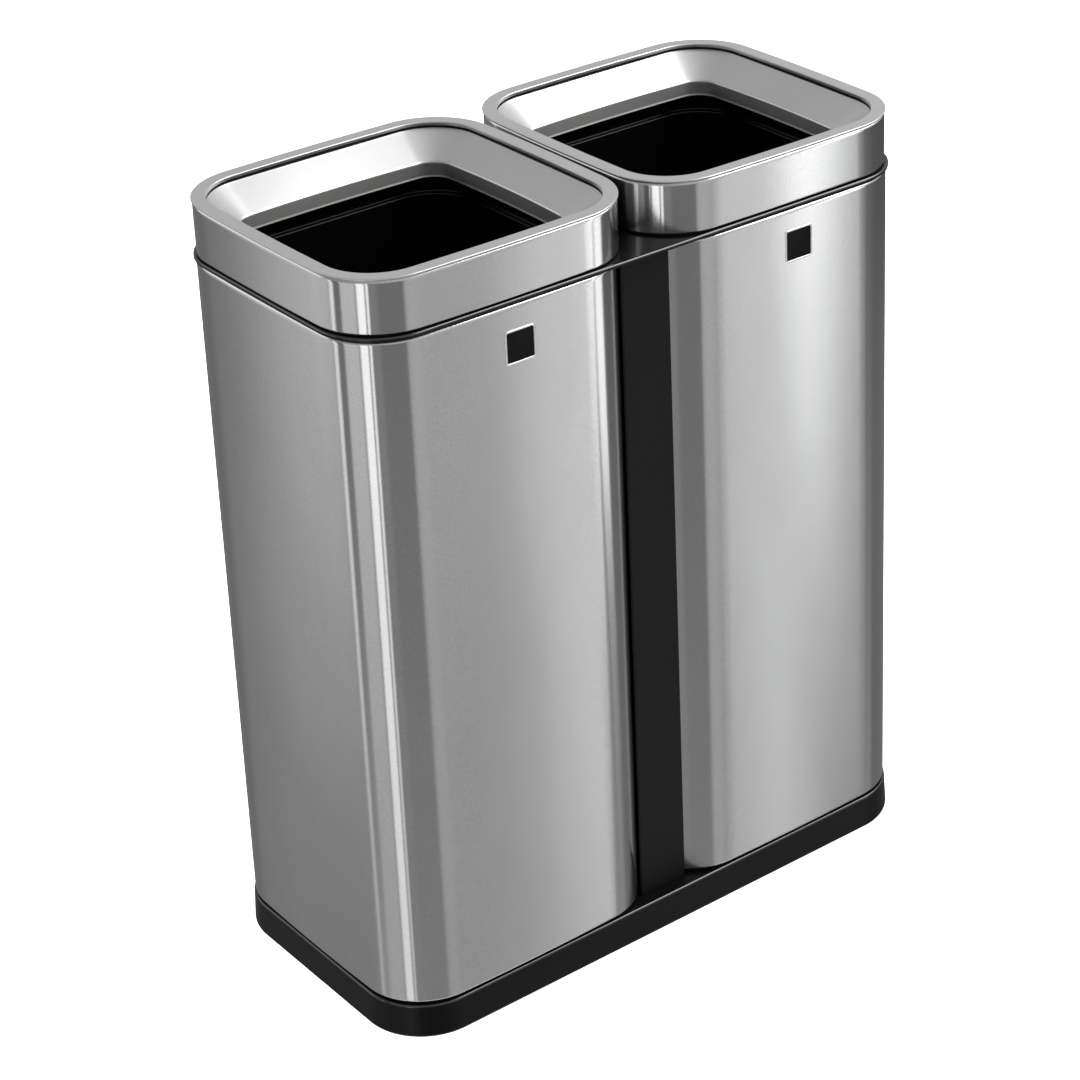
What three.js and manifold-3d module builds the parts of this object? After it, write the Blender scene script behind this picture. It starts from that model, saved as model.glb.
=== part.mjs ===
// Double recycling bin: two stainless steel bin bodies side by side on one
// moulded base, under one moulded top deck. Each bin has a lift-off steel
// collar (skin, brim ring, funnel and plastic carrier) and a lift-out liner.
//
// Millimetres, +Z up. X runs along the two bins, left bin at -X. The front,
// with the badge plates, faces -Y. The origin is on the floor, under the
// middle of the base.

import * as THREE from 'three';
import { mergeVertices } from 'three/addons/utils/BufferGeometryUtils.js';
import Module from 'manifold-3d';

const wasm = await Module();
wasm.setup();

// ---------------------------------------------------------------- dimensions

// steel bodies
const BODY_W = 284.6; // along X
const BODY_D = 286.0; // along Y
const BODY_R = 58.5; // plan corner radius
const BODY_X = 150.2; // centre of each body from the middle
const BODY_Z0 = 39.2; // lower edge
const BODY_Z1 = 664.8; // upper edge
const SHEET = 0.8; // steel sheet
const BODY_HEM = 5.5; // width of the hems turned inwards at both ends
const BODY_TOP_ROLL = 3.6; // radius of the rolled upper edge
const BODY_BOTTOM_ROLL = 1.6;
const LENGTH = 2 * BODY_X + BODY_W; // both bodies, end to end

// base
const BASE_Z0 = 3.0; // underside, above the floor
const BASE_Z1 = 36.2; // top plane
const BASE_TOP_OUT = 0.5; // base beyond the steel at its top edge
const BASE_FOOT_OUT = 1.9; // and near the floor, from the draft of its side
const BASE_WALL = 3.0;
const SPIGOT_IN = 6.0; // spigots of base and deck inside the steel's outer face
const SPIGOT_T = 2.5;

// feet
const FOOT_X = 233;
const FOOT_Y = 118;
const FOOT_R = 16;
const FOOT_H = 4.4;
const BOSS_Z0 = 4.8; // lower end of the foot bosses

// deck
const DECK_Z0 = 665.3;
const DECK_Z1 = 668.7;
const DECK_OUT = 1.5; // deck rim beyond the steel
const DECK_OPEN_W = 245.4;
const DECK_OPEN_D = 239.0;
const DECK_OPEN_R = 51;
const DECK_SKIRT_Z = 648;
const RIB_IN = 4.4; // locating rib inside the collar's outer face
const RIB_T = 2.4;
const RIB_Z1 = 674.6;

// collars
const COLLAR_X = 148.9;
const COLLAR_Y = 0.5;
const COLLAR_W = 286.5;
const COLLAR_D = 284.9;
const COLLAR_R = 59.1;
const COLLAR_Z0 = 670.3;
const SKIN_Z1 = 716.3;
const SKIN_ROLL = 3.2;
const BRIM_OUT = 1.0; // brim beyond the skin
const BRIM_W = 13.25; // width of the brim's flat ring
const BRIM_Z0 = 716.8;
const BRIM_Z1 = 718.2;
const BRIM_DROP_Z = 713.2; // lower edge of the brim's inner turn-down
const FUNNEL_Z1 = 712.7;
const MOUTH_X = -4.1; // the mouth's middle, from the brim's middle
const MOUTH_W = 209.6;
const MOUTH_D = 194.4;
const MOUTH_R = 21;
const LIP_BOW = 1.9; // the lip's sides bow out this much over their flats
const CREASE_BOW = 2.4;
const MOUTH_Z1 = 693.8; // crease between funnel and lip
const MOUTH_Z0 = 679.9; // lower edge of the lip
const CARRIER_T = 2.5;

// liners
const LINER_RIM_W = 254;
const LINER_RIM_D = 247.6;
const LINER_RIM_R = 55;
const LINER_RIM_Z1 = 675.2;
const LINER_HANG_Z = 669.1; // rim edge that rests on the deck
const LINER_TOP_W = 239; // inside, above the ledge
const LINER_TOP_D = 232.6;
const LINER_TOP_R = 47.5;
const LEDGE_W = 230; // inside, at the ledge
const LEDGE_D = 223.6;
const LEDGE_R = 43;
const LEDGE_Z = 660.2;
const LINER_T = 2.0;
const LINER_FLOOR_W = 204; // inside, at the floor
const LINER_FLOOR_D = 197.6;
const LINER_FLOOR_R = 34;
const LINER_FLOOR_Z = 60;

// centre panels and ties
const PANEL_SETBACK = 14.2; // face behind the front of the steel
const PANEL_HALF = 25.1;
const PANEL_T = 1.2;
const TIE_Y = 70;
const TIE_R = 3;

// badge plates
const BADGE = 30;
const BADGE_R = 3.2;
const BADGE_AT = { left: [-141.5, 628.0], right: [155.7, 631.0] }; // X and Z of their middles

const N = 6; // segments in each plan corner

// ------------------------------------------------------------------ materials

const mat = (color, roughness, metalness) =>
  new THREE.MeshStandardMaterial({ color, roughness, metalness });
const steel = () => mat(0xb4b5b6, 0.34, 1.0);
const satin = () => mat(0xc4c4c2, 0.38, 1.0);
const black = () => mat(0x1b1b1c, 0.42, 0.0);
const linerBlack = () => mat(0x111112, 0.38, 0.0);
const panelBlack = () => mat(0x202021, 0.5, 0.0);
const rubber = () => mat(0x161616, 0.8, 0.0);
const zinc = () => mat(0xa9acb0, 0.4, 1.0);
const inlayBlack = () => mat(0x0d0d0e, 0.22, 0.0);

// -------------------------------------------------------------------- helpers

// Points of a rounded rectangle, counter-clockwise, n segments per corner.
function roundRect(w, d, r, cx = 0, cy = 0, n = N) {
  const pts = [];
  for (const [sx, sy, a0] of [[1, -1, -90], [1, 1, 0], [-1, 1, 90], [-1, -1, 180]]) {
    const ox = cx + sx * (w / 2 - r);
    const oy = cy + sy * (d / 2 - r);
    for (let i = 0; i <= n; i++) {
      const a = THREE.MathUtils.degToRad(a0 + (90 * i) / n);
      pts.push([ox + r * Math.cos(a), oy + r * Math.sin(a)]);
    }
  }
  return pts;
}

// The same with sides that bow out by bow, m segments per side.
function bowedRect(w, d, r, bow, cx = 0, cy = 0, n = N, m = 4) {
  const pts = [];
  for (const [sx, sy, a0] of [[1, -1, -90], [1, 1, 0], [-1, 1, 90], [-1, -1, 180]]) {
    const ox = w / 2 - r;
    const oy = d / 2 - r;
    for (let i = 0; i <= n; i++) {
      const a = THREE.MathUtils.degToRad(a0 + (90 * i) / n);
      pts.push([cx + sx * ox + r * Math.cos(a), cy + sy * oy + r * Math.sin(a)]);
    }
    // the side that follows this corner
    const along = sx === sy ? ox : oy;
    const a1 = THREE.MathUtils.degToRad(a0 + 90);
    const normal = [Math.cos(a1), Math.sin(a1)];
    const dir = [-normal[1], normal[0]];
    const start = pts[pts.length - 1];
    for (let i = 1; i < m; i++) {
      const t = (2 * i) / m - 1;
      const s = (t + 1) * along;
      const o = bow * (1 - t * t);
      pts.push([start[0] + dir[0] * s + normal[0] * o, start[1] + dir[1] * s + normal[1] * o]);
    }
  }
  return pts;
}

// Skin over rings of equal point count. Each ring is { pts, z }. A closed loft
// joins the last ring to the first; an open one is capped with flat faces.
function loft(rings, closed) {
  const n = rings[0].pts.length;
  const pos = [];
  for (const ring of rings) for (const p of ring.pts) pos.push(p[0], p[1], ring.z);
  const idx = [];
  const m = closed ? rings.length : rings.length - 1;
  for (let k = 0; k < m; k++) {
    const a = k * n;
    const b = ((k + 1) % rings.length) * n;
    for (let i = 0; i < n; i++) {
      const j = (i + 1) % n;
      idx.push(a + i, a + j, b + j, a + i, b + j, b + i);
    }
  }
  if (!closed) {
    const cap = (k, flip) => {
      const contour = rings[k].pts.map((p) => new THREE.Vector2(p[0], p[1]));
      for (const t of THREE.ShapeUtils.triangulateShape(contour, [])) {
        const [p, q, r] = t.map((v) => k * n + v);
        if (flip) idx.push(p, r, q);
        else idx.push(p, q, r);
      }
    };
    cap(0, true);
    cap(rings.length - 1, false);
  }
  // signed volume decides which way the faces point
  let vol = 0;
  const v = (i) => new THREE.Vector3(pos[3 * i], pos[3 * i + 1], pos[3 * i + 2]);
  for (let i = 0; i < idx.length; i += 3) {
    vol += v(idx[i]).dot(v(idx[i + 1]).cross(v(idx[i + 2])));
  }
  if (vol < 0) for (let i = 0; i < idx.length; i += 3) [idx[i + 1], idx[i + 2]] = [idx[i + 2], idx[i + 1]];
  const g = new THREE.BufferGeometry();
  g.setAttribute('position', new THREE.Float32BufferAttribute(pos, 3));
  g.setIndex(idx);
  return g;
}

// Rings from a section given as [inset, z] pairs measured inwards from one
// rounded rectangle.
const section = (w, d, r, cx, cy, list, n = N) =>
  list.map(([o, z]) => ({ pts: roundRect(w - 2 * o, d - 2 * o, Math.max(r - o, 0.6), cx, cy, n), z }));

// Rings from [width, depth, radius, z] entries.
const rings = (cx, cy, list, n = N) =>
  list.map(([w, d, r, z]) => ({ pts: roundRect(w, d, r, cx, cy, n), z }));

function solidOf(geometry) {
  const g = geometry.clone();
  g.deleteAttribute('normal');
  g.deleteAttribute('uv');
  const m = mergeVertices(g, 1e-4);
  return new wasm.Manifold(
    new wasm.Mesh({
      numProp: 3,
      vertProperties: new Float32Array(m.attributes.position.array),
      triVerts: new Uint32Array(m.index.array),
    }),
  );
}

function geometryOf(solid) {
  const mesh = solid.getMesh();
  const g = new THREE.BufferGeometry();
  const n = mesh.vertProperties.length / mesh.numProp;
  const pos = new Float32Array(n * 3);
  for (let i = 0; i < n; i++) for (let k = 0; k < 3; k++) pos[3 * i + k] = mesh.vertProperties[i * mesh.numProp + k];
  g.setAttribute('position', new THREE.BufferAttribute(pos, 3));
  g.setIndex(Array.from(mesh.triVerts));
  return g;
}

const cyl = (r0, r1, z0, z1, x, y, seg = 24) => {
  const g = new THREE.CylinderGeometry(r1, r0, z1 - z0, seg);
  g.rotateX(Math.PI / 2);
  g.translate(x, y, (z0 + z1) / 2);
  return g;
};
const box = (x0, x1, y0, y1, z0, z1) => {
  const g = new THREE.BoxGeometry(x1 - x0, y1 - y0, z1 - z0);
  g.translate((x0 + x1) / 2, (y0 + y1) / 2, (z0 + z1) / 2);
  return g;
};

const root = new THREE.Group();
function add(name, geometry, material, parent = root) {
  const g = geometry.clone();
  g.deleteAttribute('uv');
  g.computeVertexNormals();
  const mesh = new THREE.Mesh(g, material);
  mesh.name = name;
  parent.add(mesh);
  return mesh;
}

// Points of a quarter roll: from [inset a, z a] round to [inset b, z b].
function roll(cx, cz, r, from, to, steps) {
  const out = [];
  for (let i = 0; i <= steps; i++) {
    const a = THREE.MathUtils.degToRad(from + ((to - from) * i) / steps);
    out.push([cx - r * Math.cos(a), cz + r * Math.sin(a)]);
  }
  return out;
}

// ------------------------------------------------------------------ base tray

{
  const top = [LENGTH + 2 * BASE_TOP_OUT, BODY_D + 2 * BASE_TOP_OUT, BODY_R + BASE_TOP_OUT];
  const foot = [LENGTH + 2 * BASE_FOOT_OUT, BODY_D + 2 * BASE_FOOT_OUT, BODY_R + BASE_FOOT_OUT];
  const inset = (s, o, z) => [s[0] - 2 * o, s[1] - 2 * o, s[2] - o, z];
  const outer = loft(
    rings(0, 0, [
      inset(foot, 3.4, BASE_Z0),
      inset(foot, 1.0, BASE_Z0 + 1.0),
      inset(foot, 0, BASE_Z0 + 3.6),
      inset(top, 0, BASE_Z1 - 1.0),
      inset(top, 0.3, BASE_Z1 - 0.3),
      inset(top, 1.0, BASE_Z1),
    ]),
    false,
  );
  const cavity = loft(
    rings(0, 0, [inset(foot, BASE_WALL + 1, BASE_Z0 - 2), inset(foot, BASE_WALL + 0.6, BASE_Z0 + 4), inset(top, BASE_WALL, BASE_Z1 - BASE_WALL)]),
    false,
  );
  let s = solidOf(outer).subtract(solidOf(cavity));
  for (const side of [-1, 1]) {
    const cx = side * BODY_X;
    // ledge that carries the steel's lower hem, and the spigot inside it
    const ledge = loft(
      section(BODY_W, BODY_D, BODY_R, cx, 0, [
        [3.0, BASE_Z1 - 0.5],
        [3.0, BODY_Z0 - 0.3],
        [SPIGOT_IN, BODY_Z0 - 0.3],
        [SPIGOT_IN, BASE_Z1 + 15],
        [SPIGOT_IN + 0.8, BASE_Z1 + 16],
        [SPIGOT_IN + SPIGOT_T, BASE_Z1 + 16],
        [SPIGOT_IN + SPIGOT_T, BASE_Z1 - 0.5],
      ]),
      true,
    );
    s = s.add(solidOf(ledge));
  }
  // bosses for the four feet, with blind screw holes
  for (const x of [-FOOT_X, FOOT_X])
    for (const y of [-FOOT_Y, FOOT_Y]) {
      s = s.add(solidOf(cyl(FOOT_R + 2, FOOT_R + 2, BOSS_Z0, BASE_Z1 - 1, x, y)));
      s = s.subtract(solidOf(cyl(2.1, 2.1, BOSS_Z0 - 1, BOSS_Z0 + 16, x, y, 16)));
    }
  // bosses and holes for the two tie rods
  for (const y of [-TIE_Y, TIE_Y]) {
    s = s.add(solidOf(cyl(9, 9, 20, BASE_Z1 - 1, 0, y)));
    s = s.subtract(solidOf(cyl(TIE_R + 0.3, TIE_R + 0.3, 15, BASE_Z1 + 5, 0, y, 16)));
  }
  // stiffening ribs from the bosses to the side walls
  s = s.add(solidOf(box(-1.2, 1.2, -141.5, -TIE_Y - 8, 12, BASE_Z1 - 1)));
  s = s.add(solidOf(box(-1.2, 1.2, TIE_Y + 8, 141.5, 12, BASE_Z1 - 1)));
  // tongues behind the centre panels
  for (const sy of [-1, 1]) {
    const y1 = BODY_D / 2 - PANEL_SETBACK - PANEL_T - 0.4;
    const y0 = y1 - 3;
    s = s.add(solidOf(box(-15, 15, Math.min(sy * y0, sy * y1), Math.max(sy * y0, sy * y1), BASE_Z1 - 0.5, BASE_Z1 + 14)));
  }
  add('base_tray', geometryOf(s), black());
}

// ----------------------------------------------------------------------- feet

{
  let i = 0;
  for (const [label, x, y] of [
    ['front_left', -FOOT_X, -FOOT_Y],
    ['front_right', FOOT_X, -FOOT_Y],
    ['rear_left', -FOOT_X, FOOT_Y],
    ['rear_right', FOOT_X, FOOT_Y],
  ]) {
    // rubber disc with a counterbored hole for its screw
    const foot = new THREE.LatheGeometry(
      [
        [2.3, FOOT_H], [2.3, 3.0], [4.6, 3.0], [4.6, 0], [FOOT_R - 1, 0], [FOOT_R, 1], [FOOT_R, FOOT_H], [2.3, FOOT_H],
      ].map(([r, z]) => new THREE.Vector2(r, z)),
      20,
    );
    foot.rotateX(Math.PI / 2);
    const g = geometryOf(orient(foot));
    g.translate(x, y, 0);
    add(`foot_${label}`, g, rubber());
    // pan-head screw
    const screw = new THREE.LatheGeometry(
      [
        [0, 0.5], [3.4, 0.5], [4.1, 1.2], [4.1, 2.7], [1.9, 2.7], [1.9, 17], [0.9, 18.5], [0, 18.5],
      ].map(([r, z]) => new THREE.Vector2(r, z)),
      12,
    );
    screw.rotateX(Math.PI / 2);
    const sg = geometryOf(orient(screw));
    sg.translate(x, y, 0);
    add(`foot_screw_${label}`, sg, zinc());
    i++;
  }
}

// A lathe turned from +Y to +Z, as a solid whose faces point outwards.
function orient(g) {
  // LatheGeometry's axis is +Y; rotateX(+90 deg) takes it to +Z
  const c = g.clone();
  c.deleteAttribute('normal');
  c.deleteAttribute('uv');
  const m = mergeVertices(c, 1e-4);
  const p = m.attributes.position.array;
  const idx = Array.from(m.index.array);
  const tri = [];
  for (let i = 0; i < idx.length; i += 3) {
    const [a, b, d] = [idx[i], idx[i + 1], idx[i + 2]];
    if (a !== b && b !== d && a !== d) tri.push(a, b, d);
  }
  let vol = 0;
  const v = (i) => new THREE.Vector3(p[3 * i], p[3 * i + 1], p[3 * i + 2]);
  for (let i = 0; i < tri.length; i += 3) vol += v(tri[i]).dot(v(tri[i + 1]).cross(v(tri[i + 2])));
  if (vol < 0) for (let i = 0; i < tri.length; i += 3) [tri[i + 1], tri[i + 2]] = [tri[i + 2], tri[i + 1]];
  return new wasm.Manifold(
    new wasm.Mesh({ numProp: 3, vertProperties: new Float32Array(p), triVerts: new Uint32Array(tri) }),
  );
}

// ------------------------------------------------------------------- tie rods

for (const [label, y] of [['front', -TIE_Y], ['rear', TIE_Y]]) {
  const rod = cyl(TIE_R, TIE_R, 10.5, DECK_Z0 - 4.5, 0, y, 16);
  add(`tie_rod_${label}`, geometryOf(solidOf(rod)), zinc());
  const washer = solidOf(cyl(6.5, 6.5, 18.2, 19.7, 0, y, 24)).subtract(solidOf(cyl(3.3, 3.3, 17, 21, 0, y, 16)));
  add(`tie_washer_${label}`, geometryOf(washer), zinc());
  const nut = solidOf(cyl(5.77, 5.77, 12.8, 17.9, 0, y, 6)).subtract(solidOf(cyl(3.3, 3.3, 12, 19, 0, y, 16)));
  add(`tie_nut_${label}`, geometryOf(nut), zinc());
}

// --------------------------------------------------------------- steel bodies

for (const [label, side] of [['left', -1], ['right', 1]]) {
  const T = SHEET;
  const outerBottom = roll(BODY_BOTTOM_ROLL, BODY_Z0 + BODY_BOTTOM_ROLL, BODY_BOTTOM_ROLL, -90, 0, 1);
  const outerTop = roll(BODY_TOP_ROLL, BODY_Z1 - BODY_TOP_ROLL, BODY_TOP_ROLL, 0, 90, 3);
  const innerTop = roll(BODY_TOP_ROLL, BODY_Z1 - BODY_TOP_ROLL, BODY_TOP_ROLL - T, 90, 0, 2);
  const innerBottom = roll(BODY_BOTTOM_ROLL, BODY_Z0 + BODY_BOTTOM_ROLL, BODY_BOTTOM_ROLL - T, 0, -90, 1);
  const list = [
    [BODY_HEM, BODY_Z0],
    ...outerBottom,
    ...outerTop,
    [BODY_HEM, BODY_Z1],
    [BODY_HEM, BODY_Z1 - T],
    ...innerTop,
    ...innerBottom,
    [BODY_HEM, BODY_Z0 + T],
  ];
  add(`body_shell_${label}`, geometryOf(solidOf(loft(section(BODY_W, BODY_D, BODY_R, side * BODY_X, 0, list), true))), steel());
}

// -------------------------------------------------------------- centre panels

// Folded sheet: a flat face with rounded edges whose flanges turn back at 45
// degrees, parallel to the corners of the two bodies.
function panelSection(sy) {
  const yf = BODY_D / 2 - PANEL_SETBACK; // distance of the face from the middle
  const r = 1.5;
  const c = [PANEL_HALF - r, yf - r];
  const arc = (rr) => {
    const out = [];
    for (let i = 0; i <= 5; i++) {
      const a = THREE.MathUtils.degToRad(90 - (135 * i) / 5);
      out.push([c[0] + rr * Math.cos(a), c[1] + rr * Math.sin(a)]);
    }
    return out;
  };
  const run = 9 * Math.SQRT1_2;
  const flange = (p) => [p[0] - run, p[1] - run];
  const outer = arc(r);
  const inner = arc(r - PANEL_T);
  outer.push(flange(outer[outer.length - 1]));
  inner.push(flange(inner[inner.length - 1]));
  const right = [...outer, ...inner.reverse()];
  const left = right.map(([x, y]) => [-x, y]).reverse();
  return [...right, ...left].map(([x, y]) => [x, sy * y]);
}
for (const [label, sy] of [['front', -1], ['rear', 1]]) {
  let pts = panelSection(sy);
  const area = THREE.ShapeUtils.area(pts.map((p) => new THREE.Vector2(p[0], p[1])));
  if (area < 0) pts = pts.reverse();
  const shape = new THREE.Shape(pts.map((p) => new THREE.Vector2(p[0], p[1])));
  const g = new THREE.ExtrudeGeometry(shape, { depth: DECK_Z0 - 0.3 - (BASE_Z1 + 0.3), bevelEnabled: false });
  g.translate(0, 0, BASE_Z1 + 0.3);
  add(`centre_panel_${label}`, geometryOf(solidOf(g)), panelBlack());
}

// ------------------------------------------------------------------- top deck

{
  const w = LENGTH + 2 * DECK_OUT;
  const d = BODY_D + 2 * DECK_OUT;
  const r = BODY_R + DECK_OUT;
  const plate = loft(
    section(w, d, r, 0, 0, [
      [0.5, DECK_Z0],
      [0, DECK_Z0 + 0.5],
      [0, DECK_Z1 - 0.9],
      [0.27, DECK_Z1 - 0.27],
      [0.9, DECK_Z1],
    ]),
    false,
  );
  let s = solidOf(plate);
  for (const side of [-1, 1]) {
    const bx = side * BODY_X;
    const cx = side * COLLAR_X;
    // skirt inside the steel's upper hem
    const skirt = loft(
      section(BODY_W, BODY_D, BODY_R, bx, 0, [
        [SPIGOT_IN, DECK_Z0 + 0.6],
        [SPIGOT_IN, DECK_SKIRT_Z + 1],
        [SPIGOT_IN + 0.8, DECK_SKIRT_Z],
        [SPIGOT_IN + SPIGOT_T, DECK_SKIRT_Z],
        [SPIGOT_IN + SPIGOT_T, DECK_Z0 + 0.6],
      ]),
      true,
    );
    s = s.add(solidOf(skirt));
    // rib that locates the collar
    const rib = loft(
      section(COLLAR_W, COLLAR_D, COLLAR_R, cx, COLLAR_Y, [
        [RIB_IN, DECK_Z1 - 0.6],
        [RIB_IN, RIB_Z1 - 0.8],
        [RIB_IN + 0.6, RIB_Z1],
        [RIB_IN + RIB_T, RIB_Z1],
        [RIB_IN + RIB_T, DECK_Z1 - 0.6],
      ]),
      true,
    );
    s = s.add(solidOf(rib));
    const opening = loft(rings(cx, COLLAR_Y, [[DECK_OPEN_W, DECK_OPEN_D, DECK_OPEN_R, DECK_Z0 - 2], [DECK_OPEN_W, DECK_OPEN_D, DECK_OPEN_R, DECK_Z1 + 2]]), false);
    s = s.subtract(solidOf(opening));
  }
  // bosses that take the tie rods' upper ends
  for (const y of [-TIE_Y, TIE_Y]) {
    s = s.add(solidOf(cyl(6.2, 6.8, DECK_SKIRT_Z - 4, DECK_Z0 + 0.6, 0, y)));
    s = s.subtract(solidOf(cyl(TIE_R + 0.3, TIE_R + 0.3, DECK_SKIRT_Z - 6, DECK_Z0 - 3.5, 0, y, 16)));
  }
  // tongues behind the centre panels
  for (const sy of [-1, 1]) {
    const y1 = BODY_D / 2 - PANEL_SETBACK - PANEL_T - 0.4;
    const y0 = y1 - 3;
    s = s.add(solidOf(box(-15, 15, Math.min(sy * y0, sy * y1), Math.max(sy * y0, sy * y1), DECK_Z0 - 14, DECK_Z0 + 0.5)));
  }
  add('top_deck', geometryOf(s), black());
}

// -------------------------------------------------------------------- collars

for (const [label, side] of [['left', -1], ['right', 1]]) {
  const cx = side * COLLAR_X;
  const cy = COLLAR_Y;
  const T = SHEET;

  // outer skin, rolled in at the top and eased at its lower edge
  const skin = section(COLLAR_W, COLLAR_D, COLLAR_R, cx, cy, [
    [T, COLLAR_Z0],
    ...roll(0.7, COLLAR_Z0 + 0.7, 0.7, -90, 0, 1),
    ...roll(SKIN_ROLL, SKIN_Z1 - SKIN_ROLL, SKIN_ROLL, 0, 90, 3),
    [8.0, SKIN_Z1],
    [8.0, SKIN_Z1 - T],
    ...roll(SKIN_ROLL, SKIN_Z1 - SKIN_ROLL, SKIN_ROLL - T, 90, 0, 2),
  ]);
  add(`collar_skin_${label}`, geometryOf(solidOf(loft(skin, true))), steel());

  // plastic carrier that holds skin, brim and funnel together
  const carrier = section(COLLAR_W, COLLAR_D, COLLAR_R, cx, cy, [
    [T + 0.4, DECK_Z1 + 0.3],
    [T + 0.4, 708.6],
    [3.2, 711.4],
    [11.0, 711.4],
    [11.0, 709.4],
    [T + 0.4 + CARRIER_T, 707.0],
    [T + 0.4 + CARRIER_T, DECK_Z1 + 0.3],
  ]);
  add(`collar_carrier_${label}`, geometryOf(solidOf(loft(carrier, true))), black());

  // brim ring: flat ring with a rounded outer edge and an inner turn-down
  const bw = COLLAR_W + 2 * BRIM_OUT;
  const bd = COLLAR_D + 2 * BRIM_OUT;
  const br = COLLAR_R + BRIM_OUT;
  const e = (BRIM_Z1 - BRIM_Z0) / 2;
  const brim = section(bw, bd, br, cx, cy, [
    ...roll(e, BRIM_Z0 + e, e, -90, 90, 2),
    [BRIM_W - 0.9, BRIM_Z1],
    [BRIM_W, BRIM_Z1 - 0.9],
    [BRIM_W, BRIM_DROP_Z],
    [BRIM_W - T, BRIM_DROP_Z],
    [BRIM_W - T, BRIM_Z0],
  ]);
  add(`brim_ring_${label}`, geometryOf(solidOf(loft(brim, true))), satin());

  // funnel: hidden flange, slope, crease and upright lip
  const fw = bw - 2 * BRIM_W;
  const fd = bd - 2 * BRIM_W;
  const fr = br - BRIM_W;
  const funnel = [
    [fw + 13, fd + 13, fr + 6.5, 0, 0, FUNNEL_Z1],
    [fw - 0.6, fd - 0.6, fr - 0.3, 0, 0, FUNNEL_Z1],
    [MOUTH_W + 1.2, MOUTH_D + 1.2, MOUTH_R + 0.6, CREASE_BOW, 1, MOUTH_Z1 + 0.5],
    [MOUTH_W + 0.2, MOUTH_D + 0.2, MOUTH_R + 0.1, CREASE_BOW, 1, MOUTH_Z1 - 0.4],
    [MOUTH_W, MOUTH_D, MOUTH_R, CREASE_BOW, 1, MOUTH_Z1 - 1.2],
    [MOUTH_W, MOUTH_D, MOUTH_R, LIP_BOW, 1, MOUTH_Z0],
    [MOUTH_W + 2 * T, MOUTH_D + 2 * T, MOUTH_R + T, LIP_BOW, 1, MOUTH_Z0],
    [MOUTH_W + 2 * T, MOUTH_D + 2 * T, MOUTH_R + T, CREASE_BOW, 1, MOUTH_Z1 - 1.5],
    [fw + 0.4, fd + 0.4, fr + 0.2, 0, 0, FUNNEL_Z1 - T],
    [fw + 13, fd + 13, fr + 6.5, 0, 0, FUNNEL_Z1 - T],
  ].map(([w, d, r, bow, off, z]) => ({ pts: bowedRect(w, d, r, bow, cx + off * MOUTH_X, cy), z }));
  add(`funnel_${label}`, geometryOf(solidOf(loft(funnel, true))), satin());
}

// --------------------------------------------------------------------- liners

for (const [label, side] of [['left', -1], ['right', 1]]) {
  const cx = side * COLLAR_X;
  const cy = COLLAR_Y;
  const T = LINER_T;
  const list = [
    // outside, from the floor up to the rim
    [LINER_FLOOR_W + 2 * T - 8, LINER_FLOOR_D + 2 * T - 8, LINER_FLOOR_R + T - 4, LINER_FLOOR_Z - T],
    [LINER_FLOOR_W + 2 * T - 1, LINER_FLOOR_D + 2 * T - 1, LINER_FLOOR_R + T - 0.5, LINER_FLOOR_Z - T + 2],
    [LINER_FLOOR_W + 2 * T, LINER_FLOOR_D + 2 * T, LINER_FLOOR_R + T, LINER_FLOOR_Z - T + 5],
    [LEDGE_W + 2 * T, LEDGE_D + 2 * T, LEDGE_R + T, LEDGE_Z - T - 3],
    [LINER_TOP_W + 2 * T, LINER_TOP_D + 2 * T, LINER_TOP_R + T, LEDGE_Z - T + 1],
    [LINER_TOP_W + 2 * T, LINER_TOP_D + 2 * T, LINER_TOP_R + T, LINER_RIM_Z1 - T],
    [LINER_RIM_W - 2 * T, LINER_RIM_D - 2 * T, LINER_RIM_R - T, LINER_RIM_Z1 - T],
    [LINER_RIM_W - 2 * T, LINER_RIM_D - 2 * T, LINER_RIM_R - T, LINER_HANG_Z],
    [LINER_RIM_W, LINER_RIM_D, LINER_RIM_R, LINER_HANG_Z],
    [LINER_RIM_W, LINER_RIM_D, LINER_RIM_R, LINER_RIM_Z1 - 1.6],
    [LINER_RIM_W - 1, LINER_RIM_D - 1, LINER_RIM_R - 0.5, LINER_RIM_Z1 - 0.4],
    [LINER_RIM_W - 3.2, LINER_RIM_D - 3.2, LINER_RIM_R - 1.6, LINER_RIM_Z1],
    // inside, from the rim down to the floor
    [LINER_TOP_W + 2.4, LINER_TOP_D + 2.4, LINER_TOP_R + 1.2, LINER_RIM_Z1],
    [LINER_TOP_W, LINER_TOP_D, LINER_TOP_R, LINER_RIM_Z1 - 1.4],
    [LINER_TOP_W, LINER_TOP_D, LINER_TOP_R, LEDGE_Z + 1.2],
    [LINER_TOP_W - 2.2, LINER_TOP_D - 2.2, LINER_TOP_R - 1.1, LEDGE_Z],
    [LEDGE_W + 1.8, LEDGE_D + 1.8, LEDGE_R + 0.9, LEDGE_Z],
    [LEDGE_W, LEDGE_D, LEDGE_R, LEDGE_Z - 1.2],
    [LINER_FLOOR_W, LINER_FLOOR_D, LINER_FLOOR_R, LINER_FLOOR_Z + 4],
    [LINER_FLOOR_W - 2, LINER_FLOOR_D - 2, LINER_FLOOR_R - 1, LINER_FLOOR_Z + 1],
    [LINER_FLOOR_W - 8, LINER_FLOOR_D - 8, LINER_FLOOR_R - 4, LINER_FLOOR_Z],
  ];
  add(`liner_${label}`, geometryOf(solidOf(loft(rings(cx, cy, list), false))), linerBlack());
}

// --------------------------------------------------------------- badge plates

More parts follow.
